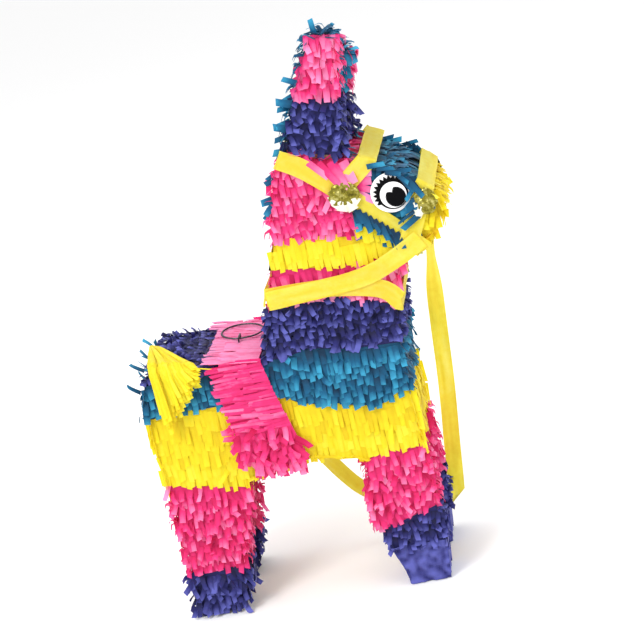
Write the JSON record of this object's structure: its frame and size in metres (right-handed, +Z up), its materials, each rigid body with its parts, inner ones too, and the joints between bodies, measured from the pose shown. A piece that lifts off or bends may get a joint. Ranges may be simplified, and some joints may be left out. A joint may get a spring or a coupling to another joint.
{
  "type": "donkey pinata",
  "caption": "Hollow cardboard donkey pinata dressed in bands of fringed crepe paper, with a saddle band, bridle ribbons, a fill flap, a wire hanging loop and a tied tail.",
  "frame": {"origin": "middle of the footprint, on the surface that the four feet stand on", "axes": "+X from tail to nose, +Y to the donkey's left, +Z up"},
  "size_m": [0.332, 0.132, 0.552],
  "materials": {
    "cardboard": "brown corrugated board, 3 mm",
    "purple_crepe": "indigo purple crepe paper, fringed",
    "teal_crepe": "teal blue crepe paper, fringed",
    "yellow_crepe": "bright yellow crepe paper, fringed",
    "pink_crepe": "hot pink crepe paper, fringed",
    "yellow_ribbon": "yellow crepe ribbon, folded",
    "gold_foil": "crinkled olive gold foil on card",
    "eye_paper": "white and black printed card",
    "hanger_wire": "dark drawn steel wire"
  },
  "bodies": {
    "donkey": {"back_strip": "cardboard", "belly_strip": "cardboard", "body_purple_crepe": "purple_crepe", "body_teal_crepe": "teal_crepe", "body_yellow_crepe": "yellow_crepe", "bridle_brow_ribbon": "yellow_ribbon", "bridle_crown_ribbon": "yellow_ribbon", "bridle_nose_ribbon": "yellow_ribbon", "chest_strip": "cardboard", "collar_ribbon": "yellow_ribbon", "face_teal_crepe": "teal_crepe", "forehead_strip": "cardboard", "hanger_plate": "cardboard", "hanger_staple": "hanger_wire", "head_pink_crepe": "pink_crepe", "jaw_strip": "cardboard", "left_cheek_rosette": "gold_foil", "left_ear_crepe": "pink_crepe", "left_ear_edge_strip": "cardboard", "left_ear_inner_panel": "cardboard", "left_eye": "eye_paper", "left_fore_foot_crepe": "purple_crepe", "left_fore_leg_edge_strip": "cardboard", "left_fore_leg_inner_panel": "cardboard", "left_fore_leg_pink_crepe": "pink_crepe", "left_hind_foot_crepe": "purple_crepe", "left_hind_leg_edge_strip": "cardboard", "left_hind_leg_inner_panel": "cardboard", "left_hind_leg_pink_crepe": "pink_crepe", "left_nose_rosette": "gold_foil", "left_rein": "yellow_ribbon", "left_side_panel": "cardboard", "muzzle_strip": "cardboard", "muzzle_yellow_crepe": "yellow_crepe", "nape_strip": "cardboard", "neck_pink_crepe": "pink_crepe", "neck_yellow_crepe": "yellow_crepe", "right_cheek_rosette": "gold_foil", "right_ear_crepe": "pink_crepe", "right_ear_edge_strip": "cardboard", "right_ear_inner_panel": "cardboard", "right_eye": "eye_paper", "right_fore_foot_crepe": "purple_crepe", "right_fore_leg_edge_strip": "cardboard", "right_fore_leg_inner_panel": "cardboard", "right_fore_leg_pink_crepe": "pink_crepe", "right_hind_foot_crepe": "purple_crepe", "right_hind_leg_edge_strip": "cardboard", "right_hind_leg_inner_panel": "cardboard", "right_hind_leg_pink_crepe": "pink_crepe", "right_nose_rosette": "gold_foil", "right_rein": "yellow_ribbon", "right_side_panel": "cardboard", "rump_strip": "cardboard", "saddle_band": "pink_crepe"},
    "flap": {"fill_flap": "cardboard", "fill_flap_crepe": "purple_crepe"},
    "hanger": {"hanger_loop": "hanger_wire"},
    "tail": {"tail_tassel": "yellow_crepe"}
  },
  "joints": [
    {"name": "fill_flap_hinge", "type": "hinge", "parent": "donkey", "child": "flap", "pos_m": [-0.098, 0, 0.26531], "axis": [0, 1, 0], "range_deg": [0, 100]},
    {"name": "hanger_swing", "type": "hinge", "parent": "donkey", "child": "hanger", "pos_m": [-0.06388, 0, 0.26765], "axis": [0.9948, 0, -0.1015], "range_deg": [0, 180]},
    {"name": "tail_lift", "type": "hinge", "parent": "donkey", "child": "tail", "pos_m": [-0.148, 0.002, 0.271], "axis": [-1, 0, 0], "range_deg": [0, 90]}
  ]
}
